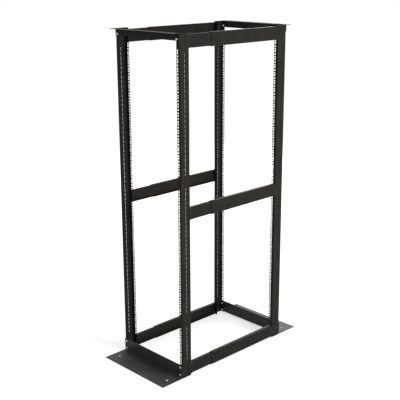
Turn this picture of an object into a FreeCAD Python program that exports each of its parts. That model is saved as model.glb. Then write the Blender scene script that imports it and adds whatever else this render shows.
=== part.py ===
import FreeCAD, Part
import math
import os
from FreeCAD import Vector

# Four post open frame rack, 38 rack units, bolted together from folded steel sheet.
# Four channel posts stand at the corners. Each has a web on the outer side of the rack and two
# flanges that turn inward, punched for cage nuts. A floor angle and a top angle join the two front
# posts, and another pair joins the two rear posts. Three telescoping braces on each side join the
# front frame to the rear frame and set its depth.
# X runs across the rack (right is +X seen from the front), Y from front to rear, Z up.
# The origin is on the floor, midway between the four posts.

# ---- overall size ----
frame_width = 500.0        # over the webs of the posts
frame_depth = 804.0        # front face of the front posts to rear face of the rear posts
frame_height = 1873.0      # floor to the top of the posts

# ---- posts ----
post_wall = 2.0
outer_flange = 25.0        # flange on the outside of the rack, from the outer face of the web
inner_flange = 29.0        # flange turned towards the other end of the rack
post_depth = 64.0          # web, from flange face to flange face
post_bend = 2.0            # inside radius of the folds

# ---- mounting holes in the posts ----
rack_unit = 44.45
rail_end_clear = 80.0      # least height kept free of units at each end of a post
hole_inset = 17.45         # from the outer face of the web to the row of holes
hole_side = 9.5
hole_edge = 6.35           # from the end of a unit to its nearest hole

# ---- floor angles ----
floor_wall = 3.0
floor_bend = 3.0
floor_upright = 76.0       # height of the upright leg
floor_foot = 150.0         # reach of the foot, from the face of the posts
anchor_dia = 14.0
anchor_inset_x = 44.0      # from the end of the angle
anchor_reach = 80.0        # from the face of the posts

# ---- top angles ----
top_wall = 2.0
top_bend = 2.0
top_upright = 38.0         # height of the hanging leg
top_lip = 44.0             # reach of the lip, from the face of the posts

# ---- side braces ----
brace_wall = 2.0
brace_bend = 2.0
brace_height = 73.0        # outer piece
brace_flange = 22.0        # outer piece, from the outer face of its web
brace_slip = 0.5           # gap between the inner piece and the outer piece
brace_end_offset = 42.5    # centre of the top and bottom braces from the ends of the posts
brace_lap = 24.0           # how far a brace laps over the web of a post
brace_clear = 0.5          # gap between the flanges of a brace and the post
joggle_run = 12.0          # length over which the inner piece steps inward behind its tab
inner_reach = 376.0        # inner piece, from the front post to its rear end
outer_start = 158.0        # outer piece, from the front post to its front end

os.makedirs("parts", exist_ok=True)


def save(name, shape):
    shape.exportStep("parts/" + name + ".step")


def outline(corners):
    """Closed wire through corners, each a point and the radius that rounds it."""
    parts = []
    runs = len(corners)
    starts = []
    ends = []
    for i in range(runs):
        point, radius = corners[i]
        before = (corners[i - 1][0] - point).normalize()
        after = (corners[(i + 1) % runs][0] - point).normalize()
        if radius == 0:
            starts.append(point)
            ends.append(point)
            continue
        half = before.getAngle(after) / 2
        reach = radius / math.tan(half)
        starts.append(point + before * reach)
        ends.append(point + after * reach)
        middle = (before + after).normalize()
        crown = point + middle * (radius / math.sin(half) - radius)
        parts.append(Part.Arc(starts[i], crown, ends[i]).toShape())
    for i in range(runs):
        parts.append(Part.makeLine(ends[i], starts[(i + 1) % runs]))
    return Part.Wire(Part.__sortEdges__(parts))


def prism(corners, direction):
    """Solid from a closed outline, pushed along a direction."""
    return Part.Face(outline(corners)).extrude(direction)


def mirror_x(shape):
    return shape.mirror(Vector(0, 0, 0), Vector(1, 0, 0))


def mirror_y(shape):
    return shape.mirror(Vector(0, 0, 0), Vector(0, 1, 0))


# ---- front right post; the others are its mirror images ----
side = frame_width / 2
front = -frame_depth / 2
post_back = front + post_depth
up = Vector(0, 0, 1)
web_in = side - post_wall
outer_tip = side - outer_flange
inner_tip = side - inner_flange

post_outer_bend = post_bend + post_wall
post = prism([
    (Vector(side, front, 0), post_outer_bend),
    (Vector(side, post_back, 0), post_outer_bend),
    (Vector(inner_tip, post_back, 0), 0),
    (Vector(inner_tip, post_back - post_wall, 0), 0),
    (Vector(web_in, post_back - post_wall, 0), post_bend),
    (Vector(web_in, front + post_wall, 0), post_bend),
    (Vector(outer_tip, front + post_wall, 0), 0),
    (Vector(outer_tip, front, 0), 0),
], up * frame_height)

# Three square holes to a rack unit, and one more beyond each end of the units.
unit_count = int((frame_height - 2 * rail_end_clear) / rack_unit)
unit_base = (frame_height - unit_count * rack_unit) / 2
hole_heights = [unit_base - hole_edge]
for unit in range(unit_count):
    floor_of_unit = unit_base + unit * rack_unit
    hole_heights.append(floor_of_unit + hole_edge)
    hole_heights.append(floor_of_unit + rack_unit / 2)
    hole_heights.append(floor_of_unit + rack_unit - hole_edge)
hole_heights.append(unit_base + unit_count * rack_unit + hole_edge)

row_x = side - hole_inset
punches = []
for height in hole_heights:
    punches.append(Part.makeBox(
        hole_side, post_wall + 2, hole_side,
        Vector(row_x - hole_side / 2, front - 1, height - hole_side / 2)))
post = post.cut(Part.makeCompound(punches))

post_right = post
post_left = mirror_x(post)
save("post_front_right", post_right)
save("post_front_left", post_left)
save("post_rear_right", mirror_y(post_right))
save("post_rear_left", mirror_y(post_left))

# ---- floor angles, bolted to the faces of the posts with the foot turned outward ----
across = Vector(1, 0, 0)
floor_angle = prism([
    (Vector(-side, front, 0), floor_bend + floor_wall),
    (Vector(-side, front, floor_upright), 0),
    (Vector(-side, front - floor_wall, floor_upright), 0),
    (Vector(-side, front - floor_wall, floor_wall), floor_bend),
    (Vector(-side, front - floor_foot, floor_wall), 0),
    (Vector(-side, front - floor_foot, 0), 0),
], across * frame_width)
for way in (-1, 1):
    anchor = Part.makeCylinder(
        anchor_dia / 2, floor_wall + 2,
        Vector(way * (side - anchor_inset_x), front - anchor_reach, -1), up)
    floor_angle = floor_angle.cut(anchor)
save("floor_angle_front", floor_angle)
save("floor_angle_rear", mirror_y(floor_angle))

# ---- top angles, bolted to the faces of the posts with a lip turned outward ----
top_angle = prism([
    (Vector(-side, front, frame_height), top_bend + top_wall),
    (Vector(-side, front - top_lip, frame_height), 0),
    (Vector(-side, front - top_lip, frame_height - top_wall), 0),
    (Vector(-side, front - top_wall, frame_height - top_wall), top_bend),
    (Vector(-side, front - top_wall, frame_height - top_upright), 0),
    (Vector(-side, front, frame_height - top_upright), 0),
], across * frame_width)
save("top_angle_front", top_angle)
save("top_angle_rear", mirror_y(top_angle))

# ---- side braces: an inner piece on the front post slides in an outer piece on the rear post ----
back = Vector(0, 1, 0)


def channel_corners(web_face, height, depth, y):
    """Corners of a channel with its flanges turned inward, centred on the height of its own axis."""
    half = height / 2
    inside = web_face - brace_wall
    tip = web_face - depth
    return [
        (Vector(web_face, y, -half), brace_bend + brace_wall),
        (Vector(web_face, y, half), brace_bend + brace_wall),
        (Vector(tip, y, half), 0),
        (Vector(tip, y, half - brace_wall), 0),
        (Vector(inside, y, half - brace_wall), brace_bend),
        (Vector(inside, y, brace_wall - half), brace_bend),
        (Vector(tip, y, brace_wall - half), 0),
        (Vector(tip, y, -half), 0),
    ]


def channel(web_face, height, depth, start, end):
    return prism(channel_corners(web_face, height, depth, start), back * (end - start))


def tab(height, start, end):
    """Flat end of a web, lying on the web of a post, as high as the room between the flanges."""
    half = height / 2 - brace_wall
    return Part.makeBox(brace_wall, end - start, 2 * half, Vector(side, start, -half))


rear_post_face = -post_back

# Outer piece: its web lies flat on the web of the rear post.
lapped_face = side + brace_wall
outer_end = rear_post_face - brace_clear
outer = channel(lapped_face, brace_height, brace_flange, post_back + outer_start, outer_end)
outer = outer.fuse(tab(brace_height, outer_end, rear_post_face + brace_lap)).removeSplitter()

# Inner piece: it fits inside the outer piece. Its front end is joggled outward by one sheet,
# so that its web lies flat on the web of the front post.
inner_height = brace_height - 2 * brace_wall - 2 * brace_slip
inner_face = side - brace_slip
inner_depth = brace_flange - brace_wall - brace_slip
inner_start = post_back + brace_clear
step_end = inner_start + joggle_run
step = Part.makeLoft([
    outline(channel_corners(lapped_face, inner_height, inner_depth, inner_start)),
    outline(channel_corners(inner_face, inner_height, inner_depth, step_end)),
], True, True)
inner = channel(inner_face, inner_height, inner_depth, step_end, post_back + inner_reach)
inner = inner.fuse([
    step,
    tab(inner_height, post_back - brace_lap, inner_start),
]).removeSplitter()

brace_levels = [
    ("bottom", brace_end_offset),
    ("middle", frame_height / 2),
    ("top", frame_height - brace_end_offset),
]
for level, height in brace_levels:
    for piece_name, piece in (("inner", inner), ("outer", outer)):
        placed = piece.copy()
        placed.translate(up * height)
        save("brace_" + level + "_right_" + piece_name, placed)
        save("brace_" + level + "_left_" + piece_name, mirror_x(placed))
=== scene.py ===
import math

import bmesh
import bpy
from mathutils import Matrix, Vector


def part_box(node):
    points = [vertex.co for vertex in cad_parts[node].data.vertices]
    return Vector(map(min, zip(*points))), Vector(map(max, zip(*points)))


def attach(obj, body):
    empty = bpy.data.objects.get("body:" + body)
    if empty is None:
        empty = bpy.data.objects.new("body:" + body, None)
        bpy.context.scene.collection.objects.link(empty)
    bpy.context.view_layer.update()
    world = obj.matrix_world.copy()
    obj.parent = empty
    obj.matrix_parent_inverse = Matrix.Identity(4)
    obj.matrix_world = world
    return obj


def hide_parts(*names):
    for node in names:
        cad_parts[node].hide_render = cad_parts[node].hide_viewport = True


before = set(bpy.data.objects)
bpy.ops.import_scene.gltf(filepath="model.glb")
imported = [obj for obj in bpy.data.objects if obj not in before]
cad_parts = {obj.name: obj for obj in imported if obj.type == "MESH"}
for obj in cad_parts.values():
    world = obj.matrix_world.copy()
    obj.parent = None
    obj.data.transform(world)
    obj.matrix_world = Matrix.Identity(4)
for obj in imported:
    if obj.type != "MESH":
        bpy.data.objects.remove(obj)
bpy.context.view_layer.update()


# ---- Posts ----
# Four upright channels, each folded from 2 mm steel sheet with its web to the side of the rack, and
# powder coated black. Both flanges are punched with three square holes to a rack unit, for cage
# nuts, and the web with one row of narrow slots.

MM = 0.001
WALL = 2.0 * MM
BEND = 2.0 * MM             # inside radius of the folds
BEND_STEPS = 5              # flats that round a fold
OUTER_FLANGE = 25.0 * MM    # the inner flange reaches to the side of the CAD box
RACK_UNIT = 44.45 * MM
RAIL_END = 80.0 * MM        # least height kept free of units at each end of a post
HOLE_SIDE = 9.5 * MM
HOLE_EDGE = 6.35 * MM       # end of a unit to the middle of its nearest hole
HOLE_INSET = 17.45 * MM     # outer face of the web to the holes of the outer flange
INNER_HOLE_INSET = 21.7 * MM
SLOT_PITCH = 25.4 * MM
SLOT_LENGTH = 19.2 * MM
SLOT_WIDTH = 2.75 * MM
SLOT_SIDES = 12             # sides of the round punch at each end of a slot
# Face of the outer flange to the row of slots, and the posts that have the row there.
SLOT_ROWS = (
    (32.3 * MM, (("front", "right"), ("rear", "left"))),
    (29.3 * MM, (("front", "left"), ("rear", "right"))),
)
POST_BLACK = (0.0205, 0.0185, 0.0148)
POST_SHINE = 0.05           # specular level of the coat

scene = bpy.context.scene


def folded_sheet(name, path, wall, radius, start, end):
    """Sheet folded along a path of corners in X and Y, pushed from start to end in Z.
    The path is the outer face, and every fold turns the same way, to the left."""

    def inward(direction):
        return Vector((-direction.y, direction.x))

    ways = [(b - a).normalized() for a, b in zip(path, path[1:])]
    outer = [path[0]]
    inner = [path[0] + inward(ways[0]) * wall]
    for corner, before, after in zip(path[1:-1], ways, ways[1:]):
        turn = before.angle(after)
        reach = (radius + wall) * math.tan(turn / 2)
        centre = corner - before * reach + inward(before) * (radius + wall)
        for step in range(BEND_STEPS + 1):
            spoke = -inward(before)
            spoke.rotate(Matrix.Rotation(turn * step / BEND_STEPS, 2))
            outer.append(centre + spoke * (radius + wall))
            inner.append(centre + spoke * radius)
    outer.append(path[-1])
    inner.append(path[-1] + inward(ways[-1]) * wall)

    bm = bmesh.new()
    low_out, low_in, high_out, high_in = [
        [bm.verts.new((point.x, point.y, z)) for point in side]
        for z in (start, end) for side in (outer, inner)]
    last = len(outer) - 1
    for k in range(last):
        bm.faces.new((low_out[k], low_out[k + 1], high_out[k + 1], high_out[k]))
        bm.faces.new((low_in[k + 1], low_in[k], high_in[k], high_in[k + 1]))
        bm.faces.new((low_out[k + 1], low_out[k], low_in[k], low_in[k + 1]))
        bm.faces.new((high_out[k], high_out[k + 1], high_in[k + 1], high_in[k]))
    bm.faces.new((low_in[0], low_out[0], high_out[0], high_in[0]))
    bm.faces.new((low_out[last], low_in[last], high_in[last], high_out[last]))
    mesh = bpy.data.meshes.new(name)
    bm.to_mesh(mesh)
    bm.free()
    return mesh


def feed(node, **values):
    """Sets or links inputs of a node, given by name with _ for a space, or by number as in i0."""
    for key, value in values.items():
        slot = node.inputs[int(key[1:])] if key[1:].isdigit() else node.inputs[key.replace("_", " ")]
        for one in (value if isinstance(value, list) else [value]):
            if isinstance(one, bpy.types.NodeSocket):
                node.id_data.links.new(one, slot)
            else:
                slot.default_value = one


def tree_node(tree, kind, settings=None, output=0, **values):
    """One output of a new node of a kind, with its settings made and its inputs fed."""
    node = tree.nodes.new(kind)
    for key, value in (settings or {}).items():
        setattr(node, key, value)
    feed(node, **values)
    return node.outputs[output]


def node_tree(name, inputs):
    """Geometry node group with one geometry output and the named inputs."""
    tree = bpy.data.node_groups.new(name, "GeometryNodeTree")
    tree.interface.new_socket("Geometry", in_out="OUTPUT", socket_type="NodeSocketGeometry")
    for label, kind in inputs:
        tree.interface.new_socket(label, in_out="INPUT", socket_type="NodeSocket" + kind)
    source = tree.nodes.new("NodeGroupInput")
    sink = tree.nodes.new("NodeGroupOutput")
    return tree, source.outputs, sink.inputs["Geometry"]


def finish_tree(tree, sink, shape, material):
    """Makes the instances real, gives them their material and hands them out."""
    real = tree_node(tree, "GeometryNodeRealizeInstances", Geometry=shape)
    tree.links.new(tree_node(tree, "GeometryNodeSetMaterial", Geometry=real, Material=material), sink)


def made_by_tree(name, mesh, tree, values):
    """Plain mesh object that a node tree makes from a mesh, with values for its named inputs."""
    raw = bpy.data.objects.new(name, mesh)
    scene.collection.objects.link(raw)
    modifier = raw.modifiers.new("make", "NODES")
    modifier.node_group = tree
    for item in tree.interface.items_tree:
        if item.in_out == "INPUT" and item.name in values:
            modifier[item.identifier] = values[item.name]
    shown = raw.evaluated_get(bpy.context.evaluated_depsgraph_get())
    made = bpy.data.meshes.new_from_object(shown)
    made.name = name
    raw.modifiers.clear()
    raw.data = made
    return raw


def upward(tree, length):
    """Vector of a length along Z."""
    return tree_node(tree, "ShaderNodeCombineXYZ", Z=length)


def times(tree, value, factor):
    return tree_node(tree, "ShaderNodeMath", {"operation": 'MULTIPLY'}, i0=value, i1=factor)


def punching_tree():
    """Cuts the square holes of both flanges and the slots of the web out of one post."""
    tree, given, sink = node_tree("post_punching", [
        ("Post", "Geometry"), ("Coat", "Material"),
        ("Units", "Int"), ("Unit Height", "Float"), ("First Unit", "Vector"),
        ("Hole Size", "Vector"), ("Hole Pitch", "Float"),
        ("First End Hole", "Vector"), ("End Hole Rise", "Float"), ("Inner Row", "Vector"),
        ("Slots", "Int"), ("Slot Pitch", "Float"), ("First Slot", "Vector"),
        ("Slot Width", "Float"), ("Slot Straight", "Float"), ("Slot Depth", "Float")])

    def row(count, first, rise, shape):
        """Copies of a shape, each a rise above the last."""
        line = tree_node(tree, "GeometryNodeMeshLine", Count=count, Start_Location=first,
                         Offset=upward(tree, rise))
        return tree_node(tree, "GeometryNodeInstanceOnPoints", Points=line, Instance=shape)

    hole = tree_node(tree, "GeometryNodeMeshCube", Size=given["Hole Size"])
    lowest = upward(tree, times(tree, given["Hole Pitch"], -1.0))
    trio = row(3, lowest, given["Hole Pitch"], hole)
    holes = row(given["Units"], given["First Unit"], given["Unit Height"], trio)
    ends = row(2, given["First End Hole"], given["End Hole Rise"], hole)
    outer = tree_node(tree, "GeometryNodeJoinGeometry", Geometry=[holes, ends])
    inner = tree_node(tree, "GeometryNodeTransform", Geometry=outer, Translation=given["Inner Row"])

    # A slot is the hull of two round punches that lie across the web.
    punch = tree_node(tree, "GeometryNodeMeshCylinder", Vertices=SLOT_SIDES,
                      Radius=times(tree, given["Slot Width"], 0.5), Depth=given["Slot Depth"])
    punch = tree_node(tree, "GeometryNodeTransform", Geometry=punch, Rotation=(0, math.pi / 2, 0))
    lower = upward(tree, times(tree, given["Slot Straight"], -0.5))
    pair = row(2, lower, given["Slot Straight"], punch)
    pair = tree_node(tree, "GeometryNodeRealizeInstances", Geometry=pair)
    slot = tree_node(tree, "GeometryNodeConvexHull", Geometry=pair)
    slots = row(given["Slots"], given["First Slot"], given["Slot Pitch"], slot)

    cuts = tree_node(tree, "GeometryNodeJoinGeometry", Geometry=[outer, inner, slots])
    cuts = tree_node(tree, "GeometryNodeRealizeInstances", Geometry=cuts)
    cut = tree_node(tree, "GeometryNodeMeshBoolean", {"operation": 'DIFFERENCE'},
                    i0=given["Post"], i1=cuts)
    finish_tree(tree, sink, cut, given["Coat"])
    return tree


def new_material(name):
    """Material with its nodes on, its node tree and its shader."""
    material = bpy.data.materials.new(name)
    material.use_nodes = True
    return material, material.node_tree, material.node_tree.nodes["Principled BSDF"]


def coat_material(name, tint, shine):
    """Black powder coat: satin, with a fine orange-peel skin and a faint unevenness of tone."""
    material, tree, shader = new_material(name)
    place = tree_node(tree, "ShaderNodeTexCoord", output="Object")
    cloud = tree_node(tree, "ShaderNodeTexNoise", Vector=place, Scale=14.0, Detail=6.0)
    tone = tree_node(tree, "ShaderNodeValToRGB", Fac=cloud)
    for stop, position, share in zip(tone.node.color_ramp.elements, (0.3, 0.7), (0.8, 1.2)):
        stop.position = position
        stop.color = (*[share * part for part in tint], 1)
    rough = tree_node(tree, "ShaderNodeMapRange", Value=cloud, To_Min=0.42, To_Max=0.54)
    peel = tree_node(tree, "ShaderNodeTexNoise", Vector=place, Scale=900.0, Detail=3.0)
    bump = tree_node(tree, "ShaderNodeBump", Height=peel, Strength=0.12, Distance=0.4 * MM)
    feed(shader, Base_Color=tone, Roughness=rough, Normal=bump, Specular_IOR_Level=shine)
    return material


def mirrored(name, mesh, flip_x, flip_y):
    """Copy of a mesh mirrored across the middle of the rack, with its faces still outwards."""
    copy = mesh.copy()
    copy.name = name
    copy.transform(Matrix.Diagonal((-1 if flip_x else 1, -1 if flip_y else 1, 1, 1)))
    if flip_x != flip_y:
        copy.flip_normals()
    piece = bpy.data.objects.new(name, copy)
    scene.collection.objects.link(piece)
    return piece


post_coat = coat_material("post_powder_coat", POST_BLACK, POST_SHINE)
post_lo, post_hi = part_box("post_front_right")
height = post_hi.z - post_lo.z
units = int((height - 2 * RAIL_END) / RACK_UNIT)
rail_low = post_lo.z + (height - units * RACK_UNIT) / 2
slots = int(units * RACK_UNIT / SLOT_PITCH)
slot_low = post_lo.z + (height - (slots - 1) * SLOT_PITCH) / 2
row_x = post_hi.x - HOLE_INSET
row_y = post_lo.y + WALL / 2
channel = [Vector((post_hi.x - OUTER_FLANGE, post_lo.y)), Vector((post_hi.x, post_lo.y)),
           Vector((post_hi.x, post_hi.y)), Vector((post_lo.x, post_hi.y))]
plain_post = folded_sheet("plain_post", channel, WALL, BEND, post_lo.z, post_hi.z)
punching = punching_tree()
for slot_inset, places in SLOT_ROWS:
    punched = made_by_tree("punched_post", plain_post, punching, {
        "Coat": post_coat,
        "Units": units, "Unit Height": RACK_UNIT,
        "First Unit": (row_x, row_y, rail_low + RACK_UNIT / 2),
        "Hole Size": (HOLE_SIDE, 2 * WALL, HOLE_SIDE),
        "Hole Pitch": RACK_UNIT / 2 - HOLE_EDGE,
        "First End Hole": (row_x, row_y, rail_low - HOLE_EDGE),
        "End Hole Rise": units * RACK_UNIT + 2 * HOLE_EDGE,
        "Inner Row": (HOLE_INSET - INNER_HOLE_INSET, post_hi.y - post_lo.y - WALL, 0),
        "Slots": slots, "Slot Pitch": SLOT_PITCH,
        "First Slot": (post_hi.x - WALL / 2, post_lo.y + slot_inset, slot_low),
        "Slot Width": SLOT_WIDTH, "Slot Straight": SLOT_LENGTH - SLOT_WIDTH, "Slot Depth": 3 * WALL})
    for end, hand in places:
        post = mirrored("punched_post_" + end + "_" + hand, punched.data, hand == "left", end == "rear")
        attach(post, "root")
        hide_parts("post_" + end + "_" + hand)
    bpy.data.objects.remove(punched)


# ---- Floor angles ----
# Two angles folded from 3 mm steel and powder coated black join the front posts and the rear posts
# at the floor. The upright leg is bolted to the faces of the posts, and the foot turns outward,
# with a round hole near each end for a floor anchor.

FLOOR_ANGLE_BLACK_PAINTED_SHEEN = (0.0494, 0.047, 0.0427)     # paler than the posts' black: painted light, for the sheen on the flat feet
FLOOR_ANGLE_SHINE = 0.14


def coat_nodes(material, *names):
    """Gives CAD nodes their material."""
    for name in names:
        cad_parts[name].material_slots[0].material = material


floor_coat_painted_sheen = coat_material("floor_angle_coat_painted_sheen", FLOOR_ANGLE_BLACK_PAINTED_SHEEN, FLOOR_ANGLE_SHINE)
coat_nodes(floor_coat_painted_sheen, "floor_angle_front", "floor_angle_rear")


# ---- Top angles ----
# Two smaller angles folded from 2 mm steel and powder coated black join the front posts and the
# rear posts at the top. The leg hangs down the faces of the posts, with one bolt to each, and the
# lip turns outward.

# A little paler than the posts' black: slight painted light on the top angles, which share the posts'
# coat.
TOP_ANGLE_BLACK_PAINTED_LIGHT = (0.0215, 0.0192, 0.0152)
TOP_ANGLE_SHINE = 0.06

top_coat_painted_light = coat_material("top_angle_coat_painted_light", TOP_ANGLE_BLACK_PAINTED_LIGHT, TOP_ANGLE_SHINE)
coat_nodes(top_coat_painted_light, "top_angle_front", "top_angle_rear")


# ---- Side braces ----
# Three braces on each side join the front posts to the rear posts and set the depth of the rack.
# Each is two channels folded from 2 mm steel and powder coated black. The inner one slides in the
# outer one, and each ends in a flat tab that lies on the web of a post.

# A shade darker than the posts' black: painted shade on the braces, which share the posts' coat.
BRACE_BLACK_PAINTED_SHADE = (0.016, 0.0143, 0.0112)
BRACE_SHINE = 0.07

brace_coat_painted_shade = coat_material("brace_coat_painted_shade", BRACE_BLACK_PAINTED_SHADE, BRACE_SHINE)
for level in ("bottom", "middle", "top"):
    for hand in ("left", "right"):
        brace = "brace_" + level + "_" + hand
        coat_nodes(brace_coat_painted_shade, brace + "_inner", brace + "_outer")


# ---- Bolts ----
# Zinc plated hex flange bolts clamp the angles to the faces of the posts, two to a post at the
# floor and one at the top. Each has a flange nut inside the post.

HEX = 8.0 * MM              # across the flats
HEX_START = 1.0 * MM        # the hexagon starts inside its collar
HEX_CHAMFER = 0.6 * MM
HEX_CROWN = 0.86            # radius at the top of the chamfer, as a share of the hexagon's
HEAD_HEIGHT = 6.0 * MM
NUT_HEIGHT = 6.2 * MM
COLLAR = 11.5 * MM          # diameter of the flange under the hexagon
COLLAR_RIM = 1.2 * MM
COLLAR_HEIGHT = 2.2 * MM
COLLAR_SIDES = 24
SHANK = 5.0 * MM            # diameter of the bolt where it stands out of its nut
SHANK_START = 5.0 * MM      # inside the nut
SHANK_END = 10.0 * MM
SHANK_CHAMFER = 1.0 * MM
SHANK_SIDES = 16
BOLT_INSET = HOLE_INSET     # the bolts stand in line with the holes of the outer flanges
FLOOR_BOLTS = (16.5 * MM, 61.0 * MM)    # up from the foot of the post
TOP_BOLTS = (29.0 * MM,)                # down from the top of the post
FLOOR_SHEET = 3.0 * MM      # thickness of the angles that the bolts clamp
TOP_SHEET = 2.0 * MM
ZINC = (0.6, 0.61, 0.6, 1)


def turned(name, *shells):
    """Closed shells about Z, each a number of sides and a profile of radius and height."""
    bm = bmesh.new()
    for sides, profile in shells:
        angles = [2 * math.pi * k / sides for k in range(sides)]
        rings = [[bm.verts.new((radius * math.cos(angle), radius * math.sin(angle), z))
                  for angle in angles] for radius, z in profile]
        for low, high in zip(rings, rings[1:]):
            for k in range(sides):
                bm.faces.new((low[k - 1], low[k], high[k], high[k - 1]))
        bm.faces.new(list(reversed(rings[0])))
        bm.faces.new(rings[-1])
    mesh = bpy.data.meshes.new(name)
    bm.to_mesh(mesh)
    bm.free()
    piece = bpy.data.objects.new(name, mesh)
    scene.collection.objects.link(piece)
    return piece


def hexagon(top):
    """Shell of a hexagon whose top is chamfered."""
    radius = HEX / math.sqrt(3)
    return 6, ((radius, HEX_START), (radius, top - HEX_CHAMFER), (HEX_CROWN * radius, top))


def fastening_tree():
    """A bolt head at each point and its nut behind the sheets, each turned a little differently."""
    tree, given, sink = node_tree("fastenings", [
        ("Places", "Geometry"), ("Head", "Object"), ("Nut", "Object"), ("Plate", "Material"),
        ("Facing", "Vector"), ("Grip", "Float"), ("Seed", "Int")])

    def scaled(vector, factor):
        return tree_node(tree, "ShaderNodeVectorMath", {"operation": 'SCALE'},
                         Vector=vector, Scale=factor)

    def placed(label, points, facing, seed):
        """The named object at each point, with its Z along facing and a random turn about it."""
        shape = tree_node(tree, "GeometryNodeObjectInfo", output="Geometry", Object=given[label])
        spin = tree_node(tree, "FunctionNodeRandomValue", output=1, i2=0.0, i3=math.pi / 3, Seed=seed)
        turn = tree_node(tree, "FunctionNodeAlignRotationToVector", {"axis": 'Z'}, Vector=facing)
        turn = tree_node(tree, "FunctionNodeRotateRotation", {"rotation_space": 'LOCAL'},
                         Rotation=turn, Rotate_By=upward(tree, spin))
        return tree_node(tree, "GeometryNodeInstanceOnPoints", Points=points, Instance=shape,
                         Rotation=turn)

    behind = scaled(given["Facing"], -1.0)
    inside = tree_node(tree, "GeometryNodeTransform", Geometry=given["Places"],
                       Translation=scaled(behind, given["Grip"]))
    nut_seed = tree_node(tree, "ShaderNodeMath", {"operation": 'ADD'}, i0=given["Seed"], i1=7.0)
    heads = placed("Head", given["Places"], given["Facing"], given["Seed"])
    nuts = placed("Nut", inside, behind, nut_seed)
    both = tree_node(tree, "GeometryNodeJoinGeometry", Geometry=[heads, nuts])
    finish_tree(tree, sink, both, given["Plate"])
    return tree


def zinc_material():
    """Bright zinc plate, a little dulled in patches."""
    material, tree, shader = new_material("zinc_plate")
    place = tree_node(tree, "ShaderNodeTexCoord", output="Object")
    stain = tree_node(tree, "ShaderNodeTexNoise", Vector=place, Scale=160.0)
    rough = tree_node(tree, "ShaderNodeMapRange", Value=stain, To_Min=0.28, To_Max=0.5)
    feed(shader, Base_Color=ZINC, Metallic=1.0, Roughness=rough)
    return material


zinc = zinc_material()
collar = (COLLAR_SIDES, ((COLLAR / 2, 0), (COLLAR / 2, COLLAR_RIM), (HEX / 2, COLLAR_HEIGHT)))
shank = (SHANK_SIDES, ((SHANK / 2, SHANK_START), (SHANK / 2, SHANK_END - SHANK_CHAMFER),
                       (SHANK / 2 - SHANK_CHAMFER, SHANK_END)))
head = turned("head", collar, hexagon(HEAD_HEIGHT))
nut = turned("nut", collar, hexagon(NUT_HEIGHT), shank)
fastening = fastening_tree()
rows = (("floor_angle", FLOOR_SHEET, [post_lo.z + rise for rise in FLOOR_BOLTS]),
        ("top_angle", TOP_SHEET, [post_hi.z - drop for drop in TOP_BOLTS]))
for number, (angle, sheet, levels) in enumerate(rows):
    for end, way in (("front", -1), ("rear", 1)):
        spots = bpy.data.meshes.new("spots")
        spots.from_pydata([(hand * (post_hi.x - BOLT_INSET), way * (sheet - post_lo.y), z)
                           for hand in (-1, 1) for z in levels], [], [])
        bolts = made_by_tree("bolts_" + angle + "_" + end, spots, fastening, {
            "Head": head, "Nut": nut, "Plate": zinc,
            "Facing": (0, way, 0), "Grip": sheet + WALL, "Seed": 3 * number + way})
        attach(bolts, "root")
bpy.data.objects.remove(head)
bpy.data.objects.remove(nut)


# ---- Floor, light and camera ----
# The rack stands on a plain sheet of matt white paper under three large soft lamps. The sky looks
# plain white, and the paper runs into it on every side but keeps the soft shadow of the rack.

WHITE = (1, 1, 1, 1)
PAPER = (0.8, 0.8, 0.8, 1)
PAPER_REACH = 30.0          # middle of the rack to the edges of the paper
GLOW_NEAR = 0.55            # glow of the paper by the rack
GLOW_FAR = 0.82             # glow of the paper well away from it
GLOW_RISE = (1.0, 5.0)      # distances from the middle of the rack between which the glow grows
SKY_FILL = 0.25

scene.view_settings.view_transform = 'Standard'


def seen_white(tree, plain, bright):
    """The bright shader to the camera and in reflections, and the plain one to all other light."""
    path = tree_node(tree, "ShaderNodeLightPath").node.outputs
    seen = path["Is Camera Ray"]
    for ray in ("Is Glossy Ray", "Is Transmission Ray"):
        seen = tree_node(tree, "ShaderNodeMath", {"operation": 'MAXIMUM'}, i0=seen, i1=path[ray])
    return tree_node(tree, "ShaderNodeMixShader", Fac=seen, i1=plain, i2=bright)


def paper_material():
    """Matt paper with a glow that only the camera and reflections see, and that grows outward."""
    material, tree, matt = new_material("floor_paper")
    feed(matt, Base_Color=PAPER, Roughness=0.9, Specular_IOR_Level=0.0)
    place = tree_node(tree, "ShaderNodeTexCoord", output="Object")
    away = tree_node(tree, "ShaderNodeVectorMath", {"operation": 'LENGTH'}, output="Value", i0=place)
    near, far = GLOW_RISE
    lift = tree_node(tree, "ShaderNodeMapRange", Value=away, From_Min=near, From_Max=far,
                     To_Min=GLOW_NEAR, To_Max=GLOW_FAR)
    glow = tree_node(tree, "ShaderNodeEmission", Strength=lift)
    lit = tree_node(tree, "ShaderNodeAddShader", i0=matt.outputs[0], i1=glow)
    feed(tree.nodes["Material Output"], Surface=seen_white(tree, matt.outputs[0], lit))
    return material


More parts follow.
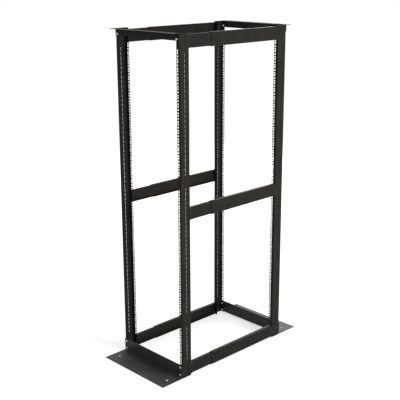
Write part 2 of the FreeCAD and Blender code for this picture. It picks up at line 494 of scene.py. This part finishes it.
def soft_lamp(name, place, target, size, power):
    """Square lamp that the camera doesn't see, turned towards its target."""
    data = bpy.data.lights.new(name, 'AREA')
    data.shape = 'SQUARE'
    data.size = size
    data.energy = power
    lamp = bpy.data.objects.new(name, data)
    scene.collection.objects.link(lamp)
    lamp.location = place
    lamp.rotation_euler = (Vector(target) - Vector(place)).to_track_quat('-Z', 'Y').to_euler()
    lamp.visible_camera = False


def aim_camera(place, yaw, pitch, roll, focal_length):
    """Camera that looks to the rear of the rack, turned yaw degrees to the left and pitch down."""
    data = bpy.data.cameras.new("camera")
    data.sensor_width = 36.0
    data.lens = focal_length
    data.clip_end = 60.0
    camera = bpy.data.objects.new("camera", data)
    scene.collection.objects.link(camera)
    camera.matrix_world = (Matrix.Translation(place)
                           @ Matrix.Rotation(math.radians(yaw), 4, 'Z')
                           @ Matrix.Rotation(math.radians(90 - pitch), 4, 'X')
                           @ Matrix.Rotation(math.radians(-roll), 4, 'Z'))
    scene.camera = camera


edge = PAPER_REACH
floor_mesh = bpy.data.meshes.new("floor")
floor_mesh.from_pydata([(-edge, -edge, 0), (edge, -edge, 0), (edge, edge, 0), (-edge, edge, 0)],
                       [], [(0, 1, 2, 3)])
floor_mesh.materials.append(paper_material())
floor = bpy.data.objects.new("floor", floor_mesh)
scene.collection.objects.link(floor)

world = bpy.data.worlds.new("studio")
world.use_nodes = True
scene.world = world
sky = world.node_tree.nodes["Background"]
feed(sky, Color=WHITE, Strength=SKY_FILL)
white = tree_node(world.node_tree, "ShaderNodeBackground", Color=WHITE, Strength=1.0)
feed(world.node_tree.nodes["World Output"],
     Surface=seen_white(world.node_tree, sky.outputs[0], white))

soft_lamp("side_box", place=(4.0, 0.6, 2.6), target=(0, 0, 0.9), size=2.2, power=170)
soft_lamp("far_side_box", place=(-4.0, 0.0, 2.6), target=(0, 0, 0.9), size=2.2, power=38)
soft_lamp("back_box", place=(-2.6, 4.2, 2.2), target=(0, 0.4, 0.0), size=2.0, power=85)

# The camera looks down on the rack from in front and to the right, from a little above its top.
aim_camera(place=(3.2294, post_lo.y - 2.7435, 2.1951), yaw=45.99, pitch=16.12, roll=0.23,
           focal_length=73.39)
